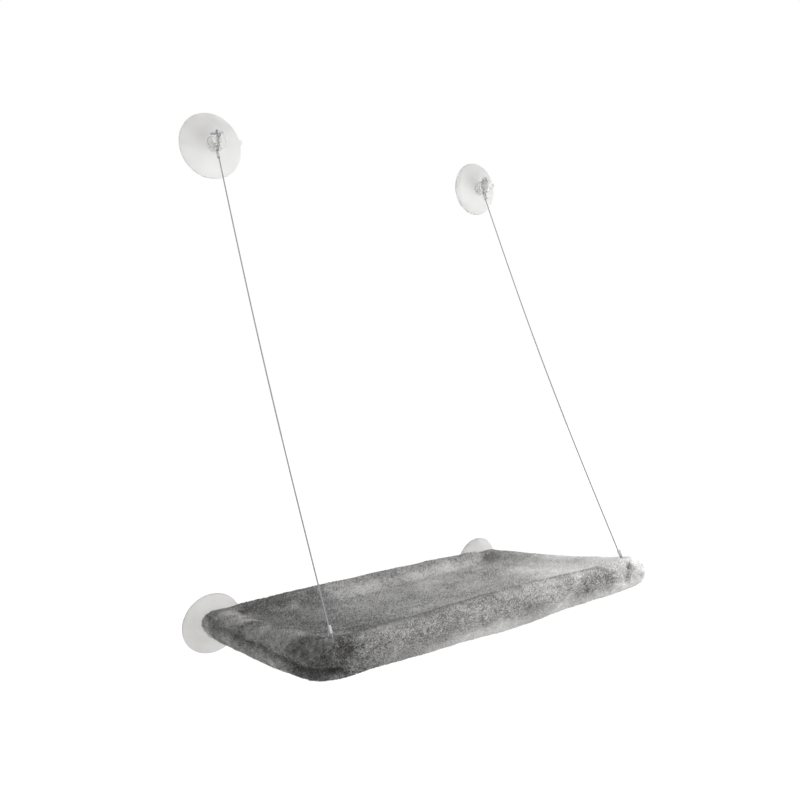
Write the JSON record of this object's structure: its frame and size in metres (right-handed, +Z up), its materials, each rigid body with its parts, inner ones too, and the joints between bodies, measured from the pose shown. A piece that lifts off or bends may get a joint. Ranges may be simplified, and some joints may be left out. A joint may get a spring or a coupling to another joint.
{
  "type": "cat hammock",
  "caption": "Window-mounted cat hammock: a plush bed on a folding tube frame, hung from suction cups by steel cables.",
  "frame": {"origin": "on the window glass, midway between the two lower suction cups, at the height of their centres", "axes": "+Z up along the glass, +Y into the glass, +X along the window, to the right when facing it; the bed reaches to -Y"},
  "size_m": [0.606, 0.3751, 0.7857],
  "materials": {
    "clear_pvc": "clear soft PVC, moulded, slightly frosted",
    "steel_pin": "turned zinc-plated steel",
    "steel_cable": "stranded wire rope with a thin clear coat",
    "ferrule_metal": "crimped aluminium sleeve",
    "pvc_tube": "extruded white PVC",
    "moulded_fitting": "moulded white ABS",
    "grey_plush": "short-pile grey plush",
    "wadding": "bonded polyester wadding",
    "base_cloth": "plain woven polyester",
    "zip_nylon": "woven nylon tape and nylon coil",
    "zip_metal": "gunmetal-plated zinc"
  },
  "bodies": {
    "window_side": {"upper_left_cup": "clear_pvc", "upper_right_cup": "clear_pvc", "lower_left_cup": "clear_pvc", "lower_right_cup": "clear_pvc", "left_toggle_pin": "steel_pin", "right_toggle_pin": "steel_pin", "left_cable": "steel_cable", "right_cable": "steel_cable", "upper_left_ferrule": "ferrule_metal", "upper_right_ferrule": "ferrule_metal"},
    "bed": {"left_hinge_pin": "steel_pin", "right_hinge_pin": "steel_pin", "left_anchor_pin": "steel_pin", "right_anchor_pin": "steel_pin", "frame_screws": "steel_pin", "lower_left_ferrule": "ferrule_metal", "lower_right_ferrule": "ferrule_metal", "front_tube": "pvc_tube", "rear_tube": "pvc_tube", "left_tube": "pvc_tube", "right_tube": "pvc_tube", "front_left_elbow": "moulded_fitting", "front_right_elbow": "moulded_fitting", "rear_left_fork": "moulded_fitting", "rear_right_fork": "moulded_fitting", "front_sleeve": "grey_plush", "rear_sleeve": "grey_plush", "left_sleeve": "grey_plush", "right_sleeve": "grey_plush", "left_fork_flap": "grey_plush", "right_fork_flap": "grey_plush", "lying_sheet": "grey_plush", "wadding_pad": "wadding", "base_cloth": "base_cloth", "zip_tape": "zip_nylon", "zip_coil": "zip_nylon", "zip_stops": "zip_metal"},
    "slider": {"zip_slider": "zip_metal"},
    "puller": {"zip_puller": "zip_metal"}
  },
  "joints": [
    {"name": "bed_fold", "type": "hinge", "parent": "window_side", "child": "bed", "pos_m": [0, -0.027, 0], "axis": [-1, 0, 0], "range_deg": [0, 60], "deforming": ["left_cable", "right_cable"]},
    {"name": "zip_slide", "type": "slide", "parent": "bed", "child": "slider", "axis": [1, 0, 0], "range_m": [0, 0.356]},
    {"name": "puller_swing", "type": "hinge", "parent": "slider", "child": "puller", "pos_m": [-0.178, -0.03329, -0.02723], "axis": [0, -0.9744, 0.225], "range_deg": [-80, 80]}
  ]
}
